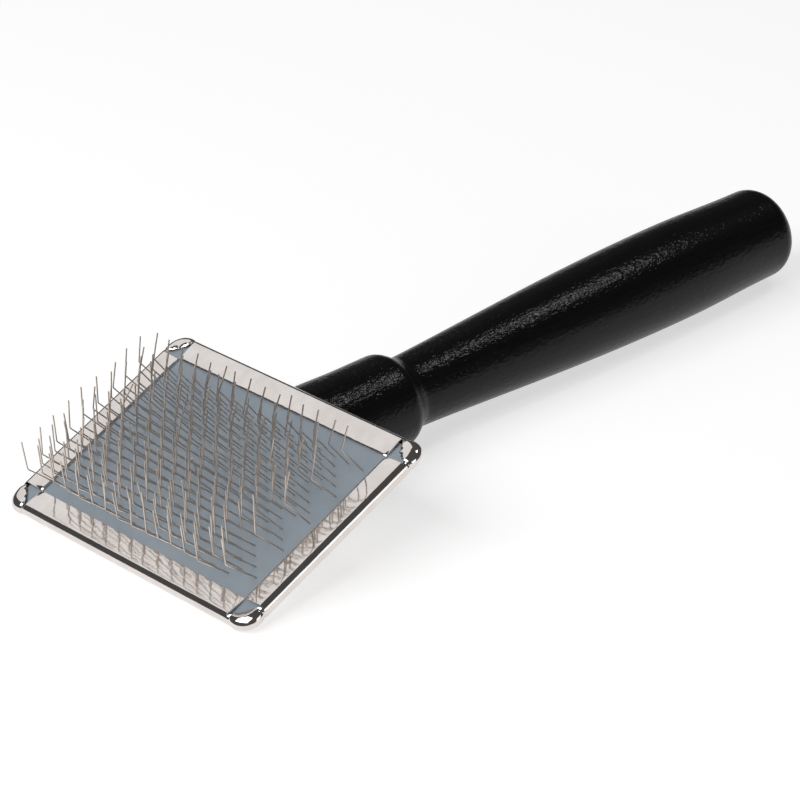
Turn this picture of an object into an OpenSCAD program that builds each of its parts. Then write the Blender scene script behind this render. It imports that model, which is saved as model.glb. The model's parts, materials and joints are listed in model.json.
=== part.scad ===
// Slicker brush for grooming dogs and cats.
// A folded sheet-metal head holds a pad of card clothing: wire staples pushed
// through cloth and rubber, every leg kneed. The head is screwed to the sliced
// end of a turned wooden handle. The brush lies on its back, pins up, on the
// front edge of its head and the fattest part of its handle.

/* [Head] */
// Width of the pad window, across the handle
window_w = 70; // [50:1:95]
// Depth of the pad window, along the handle
window_d = 45; // [40:1:55]
// Flat width of the flanges folded over the pad
flange_w = 4.8; // [4:0.1:7]
// Thickness of the sheet metal
sheet_t = 0.45; // [0.3:0.05:0.6]
// Outer radius of the rolled edge of the head
edge_r = 1.7; // [1.6:0.05:2.2]
// Plan radius of the folds round each corner
corner_r = 3; // [2.6:0.1:3.4]
// Legs of the triangle left open beside each corner of the window
corner_gap = 4.9; // [4:0.1:5]

/* [Pad] */
// Thickness of the felt cushion
felt_t = 0.75; // [0.7:0.05:0.9]
// Thickness of the cloth foundation
cloth_t = 0.7; // [0.4:0.05:0.8]
// Clearance between the pad and the walls of the head
pad_gap = 0.2; // [0.1:0.05:0.5]

/* [Pins] */
// Diameter of the pin wire
wire_d = 0.34; // [0.25:0.01:0.4]
// Number of rows of staples along the handle
rows = 18; // [8:1:18]
// Distance between rows
row_pitch = 2.12; // [1.8:0.01:2.12]
// Distance between the two legs of a staple, and between staples
leg_pitch = 4.5; // [3.5:0.1:4.5]
// Number of whole staples in a row
staples = 7; // [3:1:7]
// Height of the knee above the pad
knee_h = 8.3; // [5:0.1:10]
// Lean of the leg below the knee, away from the handle
lower_lean = 26; // [15:1:30]
// Length of the leg above the knee
tip_len = 7.2; // [4:0.1:9]
// Lean of the leg above the knee, towards the handle
upper_lean = 18; // [5:1:30]

/* [Handle] */
// Angle between the handle and the head
handle_tilt = 23.1; // [20:0.1:26]
// Distance from the pad's surface down to the handle's axis, behind the head
axis_drop = 16.9; // [16:0.1:18]
// Radius where the handle runs under the head
root_r = 11.6; // [10:0.1:12]
// Radius of the waist between root and collar
waist_r = 11.3; // [9.5:0.1:12]
// Radius of the collar
collar_r = 11.3; // [10.5:0.1:12]
// Radius of the neck behind the collar
neck_r = 8.6; // [7.5:0.1:9.5]
// Largest radius of the grip
grip_r = 12; // [10.5:0.1:12]
// Radius of the grip just before its rounded end
butt_r = 11.3; // [10:0.1:12]
// Length of the handle behind the head
grip_len = 141.7; // [110:0.1:160]
// Radius of the rounded edge at the end of the handle
butt_round = 4.9; // [2:0.1:7]

/* [Screws] */
// Diameter of the screw shank
screw_d = 2.6; // [2:0.1:3]
// Length of the screw under its head
screw_len = 8; // [6:0.5:9]
// Diameter of the screw head
screw_head_d = 5.2; // [4.5:0.1:6]

/* [Hidden] */
$fn = 64;
eps = 0.01;

// Levels in the head's own frame: the pad's surface is at zero.
flange_top = sheet_t;
back_z = sheet_t - 2 * edge_r;
floor_z = back_z + sheet_t;
felt_z = floor_z;
cloth_z = floor_z + felt_t + wire_d + eps;
rubber_z = cloth_z + cloth_t;
rubber_t = -rubber_z;
crown_z = cloth_z - wire_d / 2 - eps / 2;

// Plan of the head: straight folds end at the corner centres.
fold_x = window_d / 2 + flange_w;
fold_y = window_w / 2 + flange_w;
corner_x = fold_x - corner_r;
corner_y = fold_y - corner_r;
ring_z = flange_top - edge_r;
head_rear = fold_x + edge_r;
pad_x = fold_x - pad_gap;
pad_y = fold_y - pad_gap;

// Staple field: each row starts half a pitch later than the last, four rows
// to a repeat, so the field is stepped where it starts. The two longest rows
// of a repeat end in one more staple, whose last leg is trimmed off level
// with the rubber, because it lies under the flange.
repeat = 4;
first_x = -19;
first_y = -32.7;
wire_r = wire_d / 2;
knuckle_r = wire_r * 1.03;

// Handle: stations are distances along the axis from axis_x.
axis_x = 35;
root_s = -10;
waist_s = 4;
collar_s = 12.9;
neck_s = 19.1;
grip_s = 107;
nose_s = -54;
nose_round = 3;
seat_gap = 0.1;
profile_steps = 14;
swell_power = 1.2;

// Three screws in a triangle under the felt.
screw_head_t = 0.65;
screw_spots = [[20, 0], [4, 6.5], [4, -6.5]];
fit = 0.02;

// Rest pose: the tilt of the line that touches the head's front edge and the
// fattest ring of the handle, both seen from the side.
front = [-fold_x, ring_z];
fat = [axis_x + grip_s * cos(handle_tilt), -axis_drop - grip_s * sin(handle_tilt)];
span = norm(fat - front);
rest_tilt = atan2(front[1] - fat[1], fat[0] - front[0]) + asin((grip_r - edge_r) / span);
butt = [axis_x + grip_len * cos(handle_tilt), -axis_drop - grip_len * sin(handle_tilt)];
function rest_x(p) = p[0] * cos(rest_tilt) - p[1] * sin(rest_tilt);
function rest_z(p) = p[0] * sin(rest_tilt) + p[1] * cos(rest_tilt);
x_front = rest_x(front) - edge_r;
x_back = rest_x(butt);
lift = edge_r - rest_z(front);

function two_digits(n) = n < 10 ? str("0", n) : str(n);
function row_name(k) = str("pin_row_", two_digits(k + 1));

// ---- placing ----

// From the head's frame to the rest pose.
module at_rest() {
    translate([-(x_front + x_back) / 2, 0, lift]) rotate([0, -rest_tilt, 0]) children();
}

// From the handle's axis, along +Z, to the head's frame.
module on_handle_axis() {
    translate([axis_x, 0, -axis_drop]) rotate([0, 90 + handle_tilt, 0]) children();
}

module four_corners() {
    for (mx = [0, 1], my = [0, 1]) mirror([mx, 0, 0]) mirror([0, my, 0]) children();
}

// ---- head ----

// Section of the rolled edge, its round at the origin, reaching inwards.
module fold_section(reach, foot) {
    difference() {
        union() {
            circle(r = edge_r);
            translate([-reach, edge_r - sheet_t]) square([reach, sheet_t]);
            translate([-foot, -edge_r]) square([foot, sheet_t]);
        }
        circle(r = edge_r - sheet_t);
        translate([-edge_r - 1, -edge_r + sheet_t]) square([edge_r + 1, 2 * (edge_r - sheet_t)]);
    }
}

// A straight fold along Y at x = 0.
module fold(length) {
    translate([0, length / 2, 0]) rotate([90, 0, 0]) linear_extrude(length)
        fold_section(flange_w, flange_w);
}

// The drawn corner: a quarter of a round pan.
module corner() {
    translate([corner_x, corner_y, ring_z]) intersection() {
        rotate_extrude() translate([corner_r, 0]) fold_section(corner_r - eps, corner_r - eps);
        translate([0, 0, -edge_r - 1]) cube([fold_x, fold_x, 2 * edge_r + 2]);
    }
}

// The opening beside a corner of the window. It leaves an ear of metal on the corner.
module corner_opening() {
    translate([window_d / 2, window_w / 2, flange_top - sheet_t - eps]) linear_extrude(sheet_t + 1)
        polygon([[-eps, -eps], [corner_gap, -eps], [-eps, corner_gap]]);
}

module head_tray() {
    color("silver") difference() {
        union() {
            for (m = [0, 1]) {
                mirror([m, 0, 0]) translate([fold_x, 0, ring_z]) fold(2 * corner_y);
                mirror([0, m, 0]) translate([0, fold_y, ring_z]) rotate([0, 0, 90]) fold(2 * corner_x);
            }
            four_corners() corner();
            translate([-corner_x, -corner_y, back_z]) cube([2 * corner_x, 2 * corner_y, sheet_t]);
        }
        four_corners() corner_opening();
        screw_holes(screw_d / 2 + 0.3);
    }
}

module screw_holes(r) {
    for (p = screw_spots) translate([p[0], p[1], back_z - 1]) cylinder(r = r, h = sheet_t + 2);
}

// ---- pad ----

// A layer of the pad, with its corners rounded to the corners of the head.
module pad_layer(z, t) {
    translate([0, 0, z]) linear_extrude(t) difference() {
        square([2 * pad_x, 2 * pad_y], center = true);
        four_corners() difference() {
            translate([corner_x, corner_y]) square(corner_r + 1);
            translate([corner_x, corner_y]) circle(r = corner_r - pad_gap);
        }
    }
}

module felt_cushion() {
    color("wheat") difference() {
        pad_layer(felt_z, felt_t);
        for (p = screw_spots) translate([p[0], p[1], felt_z - 1])
            cylinder(d = screw_head_d + 1, h = felt_t + 2);
    }
}

module cloth_foundation() {
    color("tan") difference() {
        pad_layer(cloth_z, cloth_t);
        pierced(cloth_z, cloth_t);
    }
}

module rubber_face() {
    color("slategray") difference() {
        pad_layer(rubber_z, rubber_t);
        pierced(rubber_z, rubber_t);
    }
}

// The holes that the straight shanks of the staples make in a layer.
module pierced(z, t) {
    for (k = [0 : rows - 1], j = [0 : 2 * staples - 1 + (has_trimmed(k) ? 2 : 0)])
        translate([row_x(k), row_y(k) + j * leg_pitch, z - 1]) cylinder(r = wire_r + fit, h = t + 2);
}

// ---- pins ----

function row_x(k) = first_x + k * row_pitch;
function row_step(k) = (k + repeat - 1) % repeat;
function row_y(k) = first_y + leg_pitch / 2 * row_step(k);
function has_trimmed(k) = row_step(k) < 2;

// Points of one leg from its crown to its tip, bent in the XZ plane.
function leg(y) = let (knee_x = -knee_h * tan(lower_lean)) [
    [0, y, crown_z],
    [0, y, 0],
    [knee_x, y, knee_h],
    [knee_x + tip_len * sin(upper_lean), y, knee_h + tip_len * cos(upper_lean)]
];

// A straight piece of wire from one point to another.
module wire(a, b) {
    v = b - a;
    translate(a) rotate([0, acos(v[2] / norm(v)), atan2(v[1], v[0])]) cylinder(r = wire_r, h = norm(v));
}

module bent_wire(points) {
    for (i = [0 : len(points) - 2]) wire(points[i], points[i + 1]);
    for (i = [1 : len(points) - 2]) translate(points[i]) sphere(r = knuckle_r);
}

// One staple: two legs joined by a crown under the foundation.
module staple() {
    near = leg(0);
    far = leg(leg_pitch);
    bent_wire([near[3], near[2], near[1], near[0], far[0], far[1], far[2], far[3]]);
}

// The last staple of a long row: one leg, and a shank trimmed under the flange.
module trimmed_staple() {
    near = leg(0);
    far = leg(leg_pitch);
    bent_wire([near[3], near[2], near[1], near[0], far[0], far[1] - [0, 0, fit]]);
}

module pin_row(k) {
    color("rosybrown") translate([row_x(k), row_y(k), 0]) {
        for (j = [0 : staples - 1]) translate([0, 2 * j * leg_pitch, 0]) staple();
        if (has_trimmed(k)) translate([0, 2 * staples * leg_pitch, 0]) trimmed_staple();
    }
}

// ---- handle ----

function ease(a, b, t) = a + (b - a) * (1 - cos(180 * t)) / 2;
function swell(a, b, t) = a + (b - a) * pow(sin(90 * t), swell_power);
function blend(s0, r0, s1, r1) = [for (i = [0 : profile_steps - 1])
    let (t = i / profile_steps) [ease(r0, r1, t), s0 + (s1 - s0) * t]];

// Half outline of the turned handle, radius against distance along the axis.
function handle_outline() = concat(
    [[0, nose_s], [root_r - nose_round, nose_s]],
    [for (a = [15 : 15 : 90]) [root_r - nose_round + nose_round * sin(a), nose_s + nose_round * (1 - cos(a))]],
    blend(root_s, root_r, waist_s, waist_r),
    blend(waist_s, waist_r, collar_s, collar_r),
    blend(collar_s, collar_r, neck_s, neck_r),
    [for (i = [0 : profile_steps - 1]) let (t = i / profile_steps)
        [swell(neck_r, grip_r, t), neck_s + (grip_s - neck_s) * t]],
    blend(grip_s, grip_r, grip_len - butt_round, butt_r),
    [for (a = [0 : 10 : 90]) [butt_r - butt_round * (1 - cos(a)), grip_len - butt_round * (1 - sin(a))]],
    [[0, grip_len]]
);

module handle() {
    color("dimgray") difference() {
        on_handle_axis() rotate_extrude() polygon(handle_outline());
        // the flat seat, with a low shoulder behind the head
        translate([-2 * window_w, -window_w, back_z - eps])
            cube([2 * window_w + head_rear + seat_gap, 2 * window_w, window_w]);
        for (p = screw_spots) translate([p[0], p[1], back_z - screw_len - 0.5])
            cylinder(d = screw_d + 2 * fit, h = screw_len + 1);
    }
}

module head_screws() {
    color("gainsboro") for (p = screw_spots) translate([p[0], p[1], floor_z]) {
        translate([0, 0, eps]) cylinder(d = screw_head_d, h = screw_head_t);
        translate([0, 0, -sheet_t - screw_len]) cylinder(d = screw_d, h = sheet_t + screw_len + 2 * eps);
    }
}

at_rest() head_tray();
at_rest() felt_cushion();
at_rest() cloth_foundation();
at_rest() rubber_face();
at_rest() handle();
at_rest() head_screws();
for (k = [0 : rows - 1]) at_rest() pin_row(k);
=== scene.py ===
"""Slicker brush: the looks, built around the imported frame.

Shapes are made in millimetres in the head's own frame (+Z out of the pad, +X towards
the handle, origin on the pad's middle) and then laid in the row frame by HEAD.
"""
import json
import math
import random

import bmesh
import bpy
from mathutils import Matrix, Quaternion, Vector


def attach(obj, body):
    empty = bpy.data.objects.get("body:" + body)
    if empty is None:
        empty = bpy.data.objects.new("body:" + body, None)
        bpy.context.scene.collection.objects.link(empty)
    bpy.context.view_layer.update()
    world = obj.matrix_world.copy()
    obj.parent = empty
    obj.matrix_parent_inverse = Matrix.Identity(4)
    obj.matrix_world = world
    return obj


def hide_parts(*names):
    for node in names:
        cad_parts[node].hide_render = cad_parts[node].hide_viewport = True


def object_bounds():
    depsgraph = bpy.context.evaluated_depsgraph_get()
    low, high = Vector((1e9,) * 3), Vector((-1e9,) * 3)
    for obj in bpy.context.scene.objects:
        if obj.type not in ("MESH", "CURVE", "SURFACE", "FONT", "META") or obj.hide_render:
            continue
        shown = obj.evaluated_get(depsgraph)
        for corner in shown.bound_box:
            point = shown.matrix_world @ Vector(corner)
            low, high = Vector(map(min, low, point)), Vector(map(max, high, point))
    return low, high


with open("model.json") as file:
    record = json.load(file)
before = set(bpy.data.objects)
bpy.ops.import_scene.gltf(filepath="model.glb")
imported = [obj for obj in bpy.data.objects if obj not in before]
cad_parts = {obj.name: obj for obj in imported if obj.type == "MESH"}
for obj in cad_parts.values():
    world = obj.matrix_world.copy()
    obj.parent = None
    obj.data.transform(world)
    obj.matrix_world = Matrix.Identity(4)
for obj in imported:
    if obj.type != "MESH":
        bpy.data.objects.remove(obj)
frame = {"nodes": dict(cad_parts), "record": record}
cad_low, cad_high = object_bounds()

MM = 0.001
SEED = 7

# ---- driving sizes, in millimetres ----
SHEET = 0.45            # sheet metal of the head
FLANGE = 4.8            # width of a flange over the pad
FLANGE_DIP = 0.32       # the flange's inner edge presses into the pad
CORNER_R = 3.0          # plan radius of the fold round a corner
EAR = {(1, 1): 2.2, (1, -1): 2.5, (-1, 1): 2.0, (-1, -1): 1.5}  # reach of each ear over the pad
EAR_DIP = 0.35          # how far the ear falls towards its edge
BULGE = 0.5             # the drawn corner stands out this far past the folds
DOME = (4.2, 2.2, 32)   # its upper half is part of an ellipse: half axes, and the angle it starts at
SPLIT = 52.5            # the slit beside an ear ends this far round the fold
SLIT = 0.08             # width of that slit
WIRE_R = 0.17
LOWER_LEN = 9.2         # leg from the pad to the knee
UPPER_LEN = 7.2         # leg above the knee
LEG_PITCH = 4.5
BENT_SHARE = 0.04       # share of the legs that are bent
BENT_TIMES = 3.0        # how much more a bent leg strays
KNUCKLE = 1.03          # the CAD wire's knuckles, times its radius
PAD_GAP = 0.2           # clearance between the pad and the head's walls
PAD_EDGE = -0.44        # the rubber's level where the flanges press on it
DIMPLE_DEPTH = 0.14     # where a wire pricks the rubber
DIMPLE_RIM = 0.05       # the rubber swells this much round it
PAD_CROWN = 0.8         # how far its middle swells above the edge
GRIP_LEN = 141.7        # handle behind the head, along its axis
NOSE_AT = -54           # where the handle starts under the head
NOSE_ROUND = 3
BUTT_ROUND = 4.9

# Half outline of the turned handle: (distance along the axis, radius, how the stretch
# up to the next point runs). "ease" is an S curve, "swell" rises fast and flattens out.
HANDLE_OUTLINE = [
    (-10, 11.6, "ease"),
    (4, 11.3, "ease"),
    (12.9, 11.3, "ease"),
    (19.1, 8.6, "swell"),
    (107, 12.0, "ease"),
    (136.8, 11.3, "round"),
]


def by_mesh(vertices, matrix=Matrix.Identity(4)):
    """(lowest corner, highest corner) of some vertices seen through a matrix."""
    points = [matrix @ v.co for v in vertices]
    return (Vector([min(p[i] for p in points) for i in range(3)]),
            Vector([max(p[i] for p in points) for i in range(3)]))


def head_matrix():
    """From the head's own millimetres to the row frame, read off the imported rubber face."""
    mesh = frame["nodes"]["rubber_face"].data
    out = max((p for p in mesh.polygons if p.normal.z > 0.5), key=lambda p: p.area).normal
    out = Vector((out.x, 0, out.z)).normalized()
    along = Vector((0, 1, 0)).cross(out)
    turn = Matrix((along, Vector((0, 1, 0)), out)).transposed().to_4x4()
    low, high = by_mesh(mesh.vertices, turn.inverted())
    middle = Vector(((low.x + high.x) / 2, (low.y + high.y) / 2, high.z))
    return Matrix.Translation(turn @ middle) @ turn @ Matrix.Scale(MM, 4)


HEAD = head_matrix()
TO_HEAD = HEAD.inverted()


def head_box(node):
    """Corners of a CAD node in the head's own millimetres."""
    return by_mesh(frame["nodes"][node].data.vertices, TO_HEAD)


TRAY_LOW, TRAY_HIGH = head_box("head_tray")
PAD_LOW, PAD_HIGH = head_box("rubber_face")
EDGE_R = (TRAY_HIGH.z - TRAY_LOW.z) / 2
RING_Z = (TRAY_HIGH.z + TRAY_LOW.z) / 2
FOLD = (TRAY_HIGH.x - EDGE_R, TRAY_HIGH.y - EDGE_R)
WINDOW = (FOLD[0] - FLANGE, FOLD[1] - FLANGE)


# ---- materials ----

class Shader:
    """A material's node tree, with short calls for what the materials below need."""

    def __init__(self, name):
        self.material = bpy.data.materials.new(name)
        self.material.use_nodes = True
        self.tree = self.material.node_tree
        self.surface = self.tree.nodes["Principled BSDF"]

    def add(self, kind, **values):
        node = self.tree.nodes.new(kind)
        for key, value in values.items():
            setattr(node, key, value)
        return node

    def link(self, source, target):
        self.tree.links.new(source, target)

    def set(self, **values):
        for key, value in values.items():
            self.surface.inputs[key.replace("_", " ")].default_value = value

    def place(self, scale=(1, 1, 1), turn=(0, 0, 0)):
        """Coordinates of the piece in millimetres, turned and then stretched."""
        where = self.add("ShaderNodeTexCoord")
        turned = self.add("ShaderNodeMapping")
        turned.inputs["Rotation"].default_value = [math.radians(a) for a in turn]
        self.link(where.outputs["Object"], turned.inputs["Vector"])
        scaled = self.add("ShaderNodeMapping")
        scaled.inputs["Scale"].default_value = [s / MM for s in scale]
        self.link(turned.outputs["Vector"], scaled.inputs["Vector"])
        return scaled.outputs["Vector"]

    def noise(self, where, scale=1.0, detail=3.0, roughness=0.5):
        node = self.add("ShaderNodeTexNoise")
        node.inputs["Scale"].default_value = scale
        node.inputs["Detail"].default_value = detail
        node.inputs["Roughness"].default_value = roughness
        self.link(where, node.inputs["Vector"])
        return node.outputs["Fac"]

    def ramp(self, value, stops):
        node = self.add("ShaderNodeValToRGB")
        elements = node.color_ramp.elements
        while len(elements) < len(stops):
            elements.new(0.5)
        for element, (at, colour) in zip(elements, stops):
            element.position = at
            element.color = (*colour, 1)
        self.link(value, node.inputs["Fac"])
        return node.outputs["Color"]

    def spread(self, value, low, high, start=0.0, end=1.0):
        node = self.add("ShaderNodeMapRange")
        node.inputs["From Min"].default_value = start
        node.inputs["From Max"].default_value = end
        node.inputs["To Min"].default_value = low
        node.inputs["To Max"].default_value = high
        self.link(value, node.inputs["Value"])
        return node.outputs["Result"]

    def maths(self, operation, first, second):
        node = self.add("ShaderNodeMath", operation=operation)
        for socket, value in zip(node.inputs, (first, second)):
            if isinstance(value, (int, float)):
                socket.default_value = value
            else:
                self.link(value, socket)
        return node.outputs["Value"]

    def mix(self, share, first, second):
        node = self.add("ShaderNodeMix", data_type="RGBA")
        for name, value in (("Factor", share), ("A", first), ("B", second)):
            socket = [s for s in node.inputs if s.name == name and s.enabled][0]
            if isinstance(value, tuple):
                socket.default_value = (*value, 1)
            else:
                self.link(value, socket)
        return [s for s in node.outputs if s.enabled][0]

    def bump(self, height, depth_mm, strength=1.0, under=None):
        node = self.add("ShaderNodeBump")
        node.inputs["Strength"].default_value = strength
        node.inputs["Distance"].default_value = depth_mm * MM
        self.link(height, node.inputs["Height"])
        if under is not None:
            self.link(under, node.inputs["Normal"])
        return node.outputs["Normal"]

    def colour(self, socket):
        self.link(socket, self.surface.inputs["Base Color"])

    def roughness(self, socket):
        self.link(socket, self.surface.inputs["Roughness"])

    def normal(self, socket, coat=False):
        self.link(socket, self.surface.inputs["Coat Normal" if coat else "Normal"])


HEAD_TILT = math.degrees(HEAD.to_euler().y)


def plated_steel():
    """Bright plated sheet: mirror-like, faintly wavy, with fine rolling lines and handling marks."""
    s = Shader("plated_steel")
    s.set(Metallic=1.0)
    turn = (0, -HEAD_TILT, 0)
    lines = s.noise(s.place((0.25, 9, 9), turn), 1.0, 4)
    cloud = s.noise(s.place((0.22, 0.22, 0.22), turn), 1.0, 2)
    marks = s.noise(s.place((2.2, 0.5, 2.2), turn), 1.0, 5, 0.7)
    s.colour(s.ramp(cloud, [(0.3, (0.67, 0.625, 0.60)), (0.7, (0.75, 0.71, 0.685))]))
    s.roughness(s.maths("ADD", s.spread(lines, 0.06, 0.11), s.spread(marks, 0, 0.10, 0.58, 0.8)))
    wavy = s.bump(cloud, 0.15, 0.5)
    s.normal(s.bump(lines, 0.002, 0.3, wavy))
    return s.material


def pad_rubber():
    """Matte blue-grey rubber with fine grain, bloom and a little dust."""
    s = Shader("pad_rubber")
    s.set(Metallic=0.0)
    where = s.place()
    grain = s.noise(where, 6.0, 5, 0.65)
    cloud = s.noise(where, 0.12, 3)
    dust = s.noise(where, 1.7, 6, 0.75)
    base = s.ramp(cloud, [(0.3, (0.300, 0.350, 0.405)), (0.72, (0.345, 0.395, 0.445))])
    s.colour(s.mix(s.spread(dust, 0, 0.35, 0.58, 0.8), base, (0.50, 0.54, 0.57)))
    s.roughness(s.spread(cloud, 0.62, 0.8))
    s.normal(s.bump(grain, 0.02, 0.6))
    return s.material


def drawn_wire():
    """Drawn steel wire with a warm tarnish in places."""
    s = Shader("drawn_wire")
    s.set(Metallic=1.0)
    where = s.place()
    cloud = s.noise(where, 0.35, 3)
    fine = s.noise(where, 3.0, 4)
    s.colour(s.ramp(cloud, [(0.3, (0.55, 0.465, 0.40)), (0.7, (0.73, 0.65, 0.58))]))
    s.roughness(s.spread(fine, 0.24, 0.42))
    s.normal(s.bump(fine, 0.01, 0.4))
    return s.material


def lacquered_wood(axis_turn):
    """Black gloss lacquer over open-grained wood: pores and brush ripple show through the gloss."""
    s = Shader("lacquered_wood")
    s.set(Coat_Weight=0.38, Coat_Roughness=0.08, Coat_IOR=1.4, Specular_IOR_Level=0.06)
    along = s.place((0.05, 1.2, 1.2), axis_turn)
    ripple = s.noise(s.place((0.10, 0.45, 0.45), axis_turn), 1.0, 3)
    pores = s.noise(along, 1.6, 6, 0.7)
    peel = s.noise(s.place((0.7, 1.2, 1.2), axis_turn), 1.0, 2, 0.6)
    s.colour(s.ramp(pores, [(0.35, (0.0014, 0.0011, 0.0011)), (0.7, (0.004, 0.0032, 0.0032))]))
    s.roughness(s.spread(pores, 0.32, 0.5))
    fine = s.bump(pores, 0.12, 0.5)
    waves = s.bump(ripple, 0.25, 0.5, fine)
    s.normal(waves)
    s.normal(s.bump(peel, 0.18, 1.0), coat=True)
    return s.material


def pressed_felt():
    """Natural wool felt: soft tangled fibres."""
    s = Shader("pressed_felt")
    s.set(Roughness=0.95, Sheen_Weight=0.35, Sheen_Roughness=0.5)
    where = s.place()
    fibres = s.noise(where, 3.5, 8, 0.8)
    s.colour(s.ramp(fibres, [(0.3, (0.40, 0.33, 0.24)), (0.7, (0.56, 0.49, 0.38))]))
    s.normal(s.bump(fibres, 0.12, 0.8))
    return s.material


def woven_cloth():
    """Plain-weave cotton foundation."""
    s = Shader("woven_cloth")
    s.set(Roughness=0.9, Sheen_Weight=0.2)
    where = s.place((1, 1, 1), (0, -HEAD_TILT, 0))
    heights = []
    for axis in ("X", "Y"):
        wave = s.add("ShaderNodeTexWave", bands_direction=axis)
        wave.inputs["Scale"].default_value = 0.55
        wave.inputs["Distortion"].default_value = 0.4
        s.link(where, wave.inputs["Vector"])
        heights.append(wave.outputs["Fac"])
    weave = s.maths("MULTIPLY", heights[0], heights[1])
    s.colour(s.ramp(weave, [(0.0, (0.24, 0.19, 0.12)), (0.6, (0.42, 0.35, 0.25))]))
    s.normal(s.bump(weave, 0.15, 0.8))
    return s.material


def zinc_plate():
    """Zinc-plated screws."""
    s = Shader("zinc_plate")
    s.set(Metallic=1.0)
    where = s.place()
    cloud = s.noise(where, 1.2, 4)
    s.colour(s.ramp(cloud, [(0.3, (0.58, 0.59, 0.60)), (0.7, (0.72, 0.72, 0.70))]))
    s.roughness(s.spread(cloud, 0.28, 0.45))
    s.normal(s.bump(cloud, 0.02, 0.4))
    return s.material


def pale_floor():
    """Plain pale paper for the floor."""
    s = Shader("pale_floor")
    s.set(Roughness=0.9, Emission_Strength=0.62)
    s.surface.inputs["Base Color"].default_value = (0.6, 0.6, 0.6, 1)
    s.surface.inputs["Emission Color"].default_value = (1, 1, 1, 1)
    return s.material


# ---- making pieces ----

def to_object(bm, name, matrix=HEAD):
    """Turns a bmesh in the head's millimetres into an object in the row frame."""
    mesh = bpy.data.meshes.new(name)
    bm.to_mesh(mesh)
    bm.free()
    mesh.transform(matrix)
    piece = bpy.data.objects.new(name, mesh)
    bpy.context.scene.collection.objects.link(piece)
    return piece


def apply_modifiers(piece):
    """Makes what the modifiers show the piece's own mesh."""
    graph = bpy.context.evaluated_depsgraph_get()
    mesh = bpy.data.meshes.new_from_object(piece.evaluated_get(graph))
    piece.modifiers.clear()
    piece.data = mesh
    return piece


def shade(piece, angle=35):
    """Smooth shading, with edges sharper than the angle left crisp."""
    bpy.context.view_layer.objects.active = piece
    for other in bpy.context.selected_objects:
        other.select_set(False)
    piece.select_set(True)
    bpy.ops.object.shade_smooth_by_angle(angle=math.radians(angle))
    piece.select_set(False)


def dress(piece, material, slot, *nodes):
    """Gives a finished piece its material and its place on the body, and hides the CAD nodes it stands for.
    """
    piece.data.materials.clear()
    piece.data.materials.append(material)
    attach(piece, "root")
    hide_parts(*nodes)
    return piece


# ---- head ----

def roll_point(angle):
    """Offset from the fold line and height of the rolled edge, 0 degrees at its top."""
    a = math.radians(angle)
    return EDGE_R * math.sin(a), RING_Z + EDGE_R * math.cos(a)


def flange_height(d):
    """Height of a flange's top at a distance inside the fold line."""
    return TRAY_HIGH.z - FLANGE_DIP * (d / FLANGE) ** 1.6


def patch(bm, rows):
    """Joins rows of points into a sheet of quads."""
    made = [[bm.verts.new(p) for p in row] for row in rows]
    for one, two in zip(made, made[1:]):
        for i in range(len(one) - 1):
            bm.faces.new((one[i], one[i + 1], two[i + 1], two[i]))
    return made


ROLL_STEPS = [7.5 * i for i in range(25)]


def side_patch(bm, across, mirror):
    """One straight side: flange, rolled edge and the start of the back plate."""
    fold, half = FOLD[across], WINDOW[1 - across]
    sections = [(-FLANGE * (1 - i / 8), flange_height(FLANGE * (1 - i / 8)), 0) for i in range(8)]
    sections += [(*roll_point(a), a) for a in ROLL_STEPS]
    count = 60
    rows = []
    for i in range(count + 1):
        share = math.sin(math.pi / 2 * (2 * i / count - 1))
        row = []
        for d, z, angle in sections:
            reach = half if angle >= SPLIT else half - SLIT
            a = share * reach
            curl = 0.22 * math.exp(-((half - abs(a)) / 0.7) ** 2) * (max(0, -d) / FLANGE) ** 2
            point = [a, a]
            point[across] = mirror * (fold + d)
            row.append(Vector((*point, z - curl)))
        rows.append(row)
    patch(bm, rows)


def corner_fold(s):
    """A point on the fold round a corner and its way outwards, both seen from the window's corner."""
    straight = FLANGE - CORNER_R
    arc = CORNER_R * math.pi / 2
    if s <= straight:
        return (FLANGE, s), (1, 0)
    if s >= straight + arc:
        return (2 * straight + arc - s, FLANGE), (0, 1)
    turn = (s - straight) / CORNER_R
    out = (math.cos(turn), math.sin(turn))
    return (straight + CORNER_R * out[0], straight + CORNER_R * out[1]), out


def corner_section(angle, full):
    """Like roll_point, but swelling into the corner's dome as full goes from 0 to 1."""
    d, z = roll_point(angle)
    a = math.radians(angle)
    if angle < 90:
        wide, high, first = DOME
        e = math.radians(first + (90 - first) * angle / 90)
        dome = (EDGE_R + BULGE - wide * (1 - math.sin(e)), RING_Z + high * math.cos(e))
    else:
        dome = ((EDGE_R + BULGE) * math.sin(a), z)
    return d + (dome[0] - d) * full, z + (dome[1] - z) * full


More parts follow.
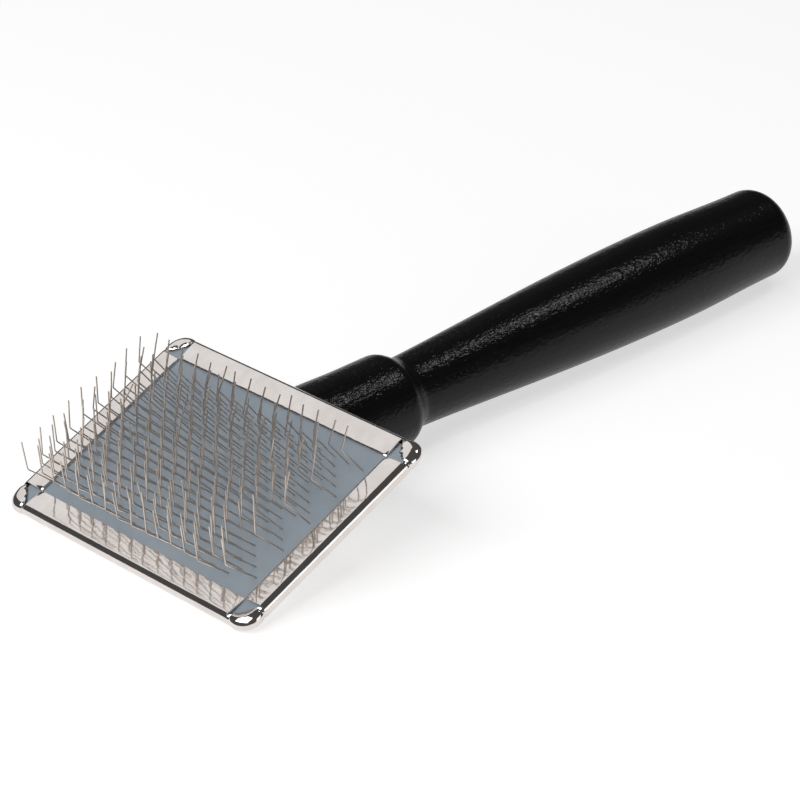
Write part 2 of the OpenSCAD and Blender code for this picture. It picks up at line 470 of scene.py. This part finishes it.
def corner_patch(bm, mx, my):
    """One drawn corner: the rolled edge round it and the ear folded in over the pad.

    The ear reaches furthest in the middle. Beside it a slit lets the fold turn.
    """
    total = 2 * (FLANGE - CORNER_R) + CORNER_R * math.pi / 2
    ends = [0, 0.12, 0.26, 0.42, 0.6, 0.8]
    middle = [1.05 + (total - 2.1) * i / 22 for i in range(23)]
    lip = 13
    end_arc = math.radians(SPLIT) * EDGE_R
    rows = []
    for s in ends + middle + [total - e for e in reversed(ends)]:
        (u, v), (nx, ny) = corner_fold(s)
        near = min(s, total - s)
        full = math.sin(math.pi * near / total) ** 2
        grown = min(1, max(0, (near - 0.45) / 0.9))
        reach = EAR[mx, my] * math.sin(math.pi * near / total) ** 0.75 * grown * grown * (3 - 2 * grown)
        start = math.radians(34) * EDGE_R * max(0, 1 - near / 0.55) - reach
        pinch = 0.2 * math.exp(-((near - 0.75) / 0.3) ** 2)
        steps = [start + (end_arc - start) * j / (lip - 1) for j in range(lip)]
        steps += [math.radians(a) * EDGE_R for a in ROLL_STEPS if a > SPLIT]
        row = []
        for t in steps:
            d, z = corner_section(math.degrees(max(0, t) / EDGE_R), full)
            if t < 0:
                share = t / start
                d, z = t + d * (1 - share), z - EAR_DIP * share ** 1.5
            else:
                d, z = d - pinch * math.sin(t / EDGE_R), z - pinch * max(0, math.cos(t / EDGE_R))
            row.append(Vector((mx * (WINDOW[0] + u + nx * d), my * (WINDOW[1] + v + ny * d), z)))
        rows.append(row)
    patch(bm, rows)


def back_plate(bm):
    """Closes the back of the head between the rolled edges."""
    rim = [v for v in bm.verts if abs(v.co.z - TRAY_LOW.z) < 1e-4]
    rim.sort(key=lambda v: math.atan2(v.co.y * FOLD[0], v.co.x * FOLD[1]))
    bm.faces.new(rim)


def head_tray():
    bm = bmesh.new()
    for mirror in (1, -1):
        side_patch(bm, 0, mirror)
        side_patch(bm, 1, mirror)
        for other in (1, -1):
            corner_patch(bm, mirror, other)
    bmesh.ops.remove_doubles(bm, verts=bm.verts, dist=0.01)
    loose = [v for v in bm.verts if not v.link_faces]
    bmesh.ops.delete(bm, geom=loose, context="VERTS")
    back_plate(bm)
    bmesh.ops.recalc_face_normals(bm, faces=bm.faces)
    bm.faces.ensure_lookup_table()
    lowest = min(bm.faces, key=lambda f: f.calc_center_median().z)
    if lowest.normal.z > 0:
        bmesh.ops.reverse_faces(bm, faces=bm.faces)
    piece = to_object(bm, "folded_head", Matrix.Identity(4))
    thick = piece.modifiers.new("thickness", "SOLIDIFY")
    thick.thickness = SHEET
    thick.offset = -1
    thick.use_quality_normals = True
    soft = piece.modifiers.new("soft_edges", "BEVEL")
    soft.width = 0.09
    soft.segments = 2
    soft.limit_method = "ANGLE"
    soft.angle_limit = math.radians(50)
    apply_modifiers(piece)
    piece.data.transform(HEAD)
    shade(piece, 50)
    return dress(piece, plated_steel(), "bright_steel_sheet", "head_tray")


# ---- pad ----

def row_bases(node):
    """Where the legs of one packed row of staples stand in the pad, in the head's millimetres."""
    low, high = head_box(node)
    knuckle = KNUCKLE * WIRE_R
    reach = high.y - low.y - 2 * knuckle
    gaps = round(reach / LEG_PITCH)
    return [(high.x - knuckle, low.y + knuckle + reach * j / gaps) for j in range(gaps + 1)]


ROW_NODES = sorted(n for n in frame["nodes"] if n.startswith("pin_row_"))
BASES = {n: row_bases(n) for n in ROW_NODES}


def pad_height(x, y):
    """Level of the rubber's face: pressed down along the flanges, swollen in the middle."""
    def swell(u):
        return max(0.0, 1 - min(1.0, abs(u)) ** 4)
    u, v = x / WINDOW[0], y / WINDOW[1]
    return PAD_EDGE + PAD_CROWN * swell(u) ** 0.7 * swell(v) ** 0.7


def half_width(y, high):
    """Half the length of a layer at a place across it, less at its rounded corners."""
    r = CORNER_R - PAD_GAP
    over = abs(y) - (high.y - r)
    return high.x if over <= 0 else high.x - r + math.sqrt(max(0.0, r * r - over * over))


def layer(name, low, high, top, step):
    """A closed layer of the pad with a shaped top face."""
    bm = bmesh.new()
    across, along = round(2 * high.y / step), round(2 * high.x / step)
    sheets = []
    for face in (1, 0):
        rows = []
        for i in range(across + 1):
            y = high.y * (2 * i / across - 1)
            half = half_width(y, high)
            xs = [half * (2 * j / along - 1) for j in range(along + 1)]
            rows.append([Vector((x, y, top(x, y) if face else low.z)) for x in xs])
        sheets.append(patch(bm, rows))
    upper, lower = sheets
    ring_up = upper[0][:-1] + [r[-1] for r in upper[:-1]] + upper[-1][:0:-1] + [r[0] for r in upper[:0:-1]]
    ring_low = lower[0][:-1] + [r[-1] for r in lower[:-1]] + lower[-1][:0:-1] + [r[0] for r in lower[:0:-1]]
    for i in range(len(ring_up)):
        k = (i + 1) % len(ring_up)
        bm.faces.new((ring_up[i], ring_up[k], ring_low[k], ring_low[i]))
    bmesh.ops.recalc_face_normals(bm, faces=bm.faces)
    return to_object(bm, name)


def dimples():
    """Every place where the face is pricked, legs and holes left empty, by whole millimetres."""
    found = {}
    for node in ROW_NODES:
        x, first = BASES[node][0]
        empty = [(x, first - LEG_PITCH)] if first - LEG_PITCH > -WINDOW[1] else []
        for x, y in BASES[node] + empty:
            found.setdefault((round(x), round(y)), []).append((x, y))
    return found


def rubber_face():
    cells = dimples()

    def top(x, y):
        z = pad_height(x, y)
        for i in (-1, 0, 1):
            for j in (-1, 0, 1):
                for px, py in cells.get((round(x) + i, round(y) + j), ()):
                    r2 = (x - px) ** 2 + (y - py) ** 2
                    z -= DIMPLE_DEPTH * math.exp(-r2 / 0.16) - DIMPLE_RIM * math.exp(-r2 / 0.9)
        return z

    piece = layer("rubber_pad", PAD_LOW, PAD_HIGH, top, 0.4)
    shade(piece, 60)
    return dress(piece, pad_rubber(), "blue_grey_rubber", "rubber_face")


def inner_layer(name, node, material, slot, fuzz):
    """The cloth or the felt under the rubber, with a slightly uneven face."""
    low, high = head_box(node)
    chance = random.Random(SEED)
    waves = [(chance.uniform(0.2, 0.6), chance.uniform(0.2, 0.6), chance.uniform(0, 6)) for _ in range(5)]

    def top(x, y):
        return high.z - fuzz * (0.5 + 0.1 * sum(math.sin(a * x + b * y + c) for a, b, c in waves))

    piece = layer(name, low, high, top, 1.2)
    shade(piece, 60)
    return dress(piece, material, slot, node)


# ---- pins ----

def rounded(points, radius, steps=4):
    """A line of points with its corners turned into short curves."""
    made = [points[0]]
    for before, at, after in zip(points, points[1:], points[2:]):
        one, two = (before - at).normalized(), (after - at).normalized()
        turn = math.pi - one.angle(two)
        cut = min(radius * math.tan(turn / 2), 0.45 * (before - at).length, 0.45 * (after - at).length)
        start, end = at + one * cut, at + two * cut
        for i in range(steps + 1):
            t = i / steps
            made.append(start.lerp(at, t).lerp(at.lerp(end, t), t))
    made.append(points[-1])
    return made


def tube(bm, points, radius, sides=10):
    """Adds a round wire along points, closed at both ends."""
    rings = []
    side = (points[1] - points[0]).orthogonal().normalized()
    for i, point in enumerate(points):
        ahead = points[min(i + 1, len(points) - 1)] - points[max(i - 1, 0)]
        ahead.normalize()
        side = (side - ahead * side.dot(ahead)).normalized()
        up = ahead.cross(side)
        rings.append([bm.verts.new(point + radius * (math.cos(a) * side + math.sin(a) * up))
                      for a in (2 * math.pi * k / sides for k in range(sides))])
    for one, two in zip(rings, rings[1:]):
        for k in range(sides):
            n = (k + 1) % sides
            bm.faces.new((one[k], one[n], two[n], two[k]))
    bm.faces.new(rings[0][::-1])
    bm.faces.new(rings[-1])


def leg_points(x, y, chance):
    """One leg from the pad to its tip: the lean changes slowly over the field."""
    base = Vector((x, y, pad_height(x, y)))
    edge = max(0, y / WINDOW[1]) ** 2
    loose = BENT_TIMES if chance.random() < BENT_SHARE else 1.0
    lower = Vector((-3.3 + 0.05 * x + 0.4 * edge, 0.3 - 0.03 * x + 1.0 * edge, 0))
    upper = Vector((2.4 + 0.02 * x, -1.4 - 0.05 * x + 0.3 * edge, 0))
    lower += Vector((chance.gauss(0, 0.22), chance.gauss(0, 0.25), 0)) * loose
    upper += Vector((chance.gauss(0, 0.28), chance.gauss(0, 0.3), 0)) * loose
    low_len = LOWER_LEN + chance.gauss(0, 0.08)
    high_len = UPPER_LEN + chance.gauss(0, 0.15)
    lower.z = math.sqrt(low_len ** 2 - lower.x ** 2 - lower.y ** 2)
    upper.z = math.sqrt(high_len ** 2 - upper.x ** 2 - upper.y ** 2)
    knee = Vector((x, y, 0)) + lower
    return [base, knee, knee + upper]


def pin_row(node, material):
    """A row of staples: crown under the cloth, two straight shanks, two kneed legs.

    A last leg that would stand under the flange is trimmed off inside the rubber.
    """
    chance = random.Random(f"{SEED} {node}")
    crown_z = head_box(node)[0].z + WIRE_R
    bm = bmesh.new()
    bases = BASES[node]
    for near, far in zip(bases[::2], bases[1::2]):
        one = leg_points(*near, chance)
        if far[1] < WINDOW[1] - 1:
            two = leg_points(*far, chance)
        else:
            two = [Vector((*far, PAD_EDGE - 0.02))]
        line = [*one[::-1], Vector((*near, crown_z)), Vector((*far, crown_z)), *two]
        tube(bm, rounded(line, 0.7), WIRE_R)
    piece = to_object(bm, node.replace("pin_row", "wire_row"))
    shade(piece, 50)
    return dress(piece, material, "pin_wire", node)


# ---- handle ----

def handle_axis():
    """From the handle's own millimetres to the row frame: +Z to its butt, origin near the head."""
    butt = [m for m in frame["record"]["mounts"] if m["name"] == "butt_end"][0]
    axis = Vector(butt["axis"]).normalized()
    start = Vector(butt["pos_m"]) - axis * GRIP_LEN * MM
    side = Vector((0, 1, 0))
    turn = Matrix((side.cross(axis), side, axis)).transposed().to_4x4()
    return Matrix.Translation(start) @ turn @ Matrix.Scale(MM, 4)


def outline_radius(kind, start, end, t):
    rise = (1 - math.cos(math.pi * t)) / 2 if kind == "ease" else math.sin(math.pi / 2 * t) ** 1.2
    return start + (end - start) * rise


def handle_outline():
    """(distance, radius) down the handle, in small steps."""
    nose_r = HANDLE_OUTLINE[0][1]
    line = [(NOSE_AT, 0.001)]
    line += [(NOSE_AT + NOSE_ROUND * (1 - math.cos(a)), nose_r - NOSE_ROUND + NOSE_ROUND * math.sin(a))
             for a in (math.pi / 2 * i / 8 for i in range(9))]
    for (s0, r0, kind), (s1, r1, _) in zip(HANDLE_OUTLINE, HANDLE_OUTLINE[1:]):
        count = max(8, round((s1 - s0) / 1.2))
        line += [(s0 + (s1 - s0) * i / count, outline_radius(kind, r0, r1, i / count)) for i in range(count)]
    butt_r = HANDLE_OUTLINE[-1][1]
    line += [(GRIP_LEN - BUTT_ROUND * (1 - math.sin(a)), butt_r - BUTT_ROUND * (1 - math.cos(a)))
             for a in (math.pi / 2 * i / 14 for i in range(15))]
    return line + [(GRIP_LEN, 0.001)]


def handle():
    own = handle_axis()
    bm = bmesh.new()
    sides = 128
    angles = [2 * math.pi * k / sides for k in range(sides)]
    rings = [[bm.verts.new((r * math.cos(a), r * math.sin(a), s)) for a in angles]
             for s, r in handle_outline()]
    for one, two in zip(rings, rings[1:]):
        for k in range(sides):
            n = (k + 1) % sides
            bm.faces.new((one[k], one[n], two[n], two[k]))
    for tip in (rings[0], rings[-1]):
        bmesh.ops.pointmerge(bm, verts=tip, merge_co=Vector((0, 0, tip[0].co.z)))
    bmesh.ops.recalc_face_normals(bm, faces=bm.faces)
    piece = to_object(bm, "turned_handle", TO_HEAD @ own)
    cutter = bmesh.new()
    bmesh.ops.create_cube(cutter, size=1)
    reach = TRAY_HIGH.x + 0.1
    deep = 60
    for v in cutter.verts:
        v.co = Vector((reach if v.co.x > 0 else -2 * deep, v.co.y * 2 * deep,
                       TRAY_LOW.z if v.co.z < 0 else deep))
    seat = to_object(cutter, "seat_cutter", Matrix.Identity(4))
    cut = piece.modifiers.new("seat", "BOOLEAN")
    cut.operation = "DIFFERENCE"
    cut.solver = "EXACT"
    cut.object = seat
    apply_modifiers(piece)
    bpy.data.objects.remove(seat)
    piece.data.transform(HEAD)
    shade(piece, 32)
    slope = math.degrees(math.asin(-Vector(own.col[2][:3]).normalized().z))
    return dress(piece, lacquered_wood((0, slope, 0)), "black_lacquered_wood", "handle")


# ---- studio ----

def look_at(thing, target, roll=0.0):
    """Points a lamp or camera at a target and rolls it."""
    way = (Vector(target) - thing.location).to_track_quat("-Z", "Y")
    thing.rotation_mode = "QUATERNION"
    thing.rotation_quaternion = way @ Quaternion((0, 0, 1), math.radians(roll))


def from_angles(target, azimuth, elevation, distance):
    """A point at a distance from a target, azimuth measured from +X."""
    a, e = math.radians(azimuth), math.radians(elevation)
    way = Vector((math.cos(e) * math.cos(a), math.cos(e) * math.sin(a), math.sin(e)))
    return Vector(target) + distance * way


def camera():
    """Set up round the head, so that the view stays on it however the brush lies."""
    target = (36.6, -25.7, 0)
    data = bpy.data.cameras.new("camera")
    data.lens = 162
    data.sensor_width = 36
    data.clip_end = 20
    thing = bpy.data.objects.new("camera", data)
    bpy.context.scene.collection.objects.link(thing)
    thing.location = from_angles(target, -118.65, 40.4, 784.9)
    look_at(thing, target, -25.49)
    thing.location = HEAD @ thing.location
    thing.rotation_quaternion = HEAD.decompose()[1] @ thing.rotation_quaternion
    bpy.context.scene.camera = thing


def softbox(name, azimuth, elevation, distance, size, radiance, target=(-0.05, 0, 0.01)):
    """A rectangular lamp that looks this bright in a mirror."""
    data = bpy.data.lights.new(name, "AREA")
    data.shape = "RECTANGLE"
    data.size, data.size_y = size
    data.energy = radiance * math.pi * size[0] * size[1]
    thing = bpy.data.objects.new(name, data)
    bpy.context.scene.collection.objects.link(thing)
    thing.location = from_angles(target, azimuth, elevation, distance)
    look_at(thing, target)


def studio():
    world = bpy.data.worlds.new("world")
    bpy.context.scene.world = world
    world.use_nodes = True
    world.node_tree.nodes["Background"].inputs["Color"].default_value = (1, 1, 1, 1)
    world.node_tree.nodes["Background"].inputs["Strength"].default_value = 0.08
    bm = bmesh.new()
    bmesh.ops.create_grid(bm, x_segments=4, y_segments=4, size=4)
    floor = to_object(bm, "floor", Matrix.Translation((0, 0, cad_low.z - 0.00005)))
    floor.data.materials.append(pale_floor())
    softbox("back", 76, 48, 1.0, (0.75, 0.65), 0.88)
    softbox("key", 178, 48, 1.0, (1.0, 0.6), 3.6)
    softbox("front", -80, 16, 1.0, (0.5, 0.5), 1.4)
    softbox("side", -16, 52, 1.1, (0.16, 0.16), 11)
    bpy.context.scene.view_settings.view_transform = "Standard"


head_tray()
rubber_face()
inner_layer("foundation_cloth", "cloth_foundation", woven_cloth(), "foundation_cloth", 0.05)
inner_layer("felt_layer", "felt_cushion", pressed_felt(), "wool_felt", 0.12)
wire = drawn_wire()
for row_node in ROW_NODES:
    pin_row(row_node, wire)
handle()
screws = frame["nodes"]["head_screws"]
screws.data.materials.clear()
screws.data.materials.append(zinc_plate())
camera()
studio()
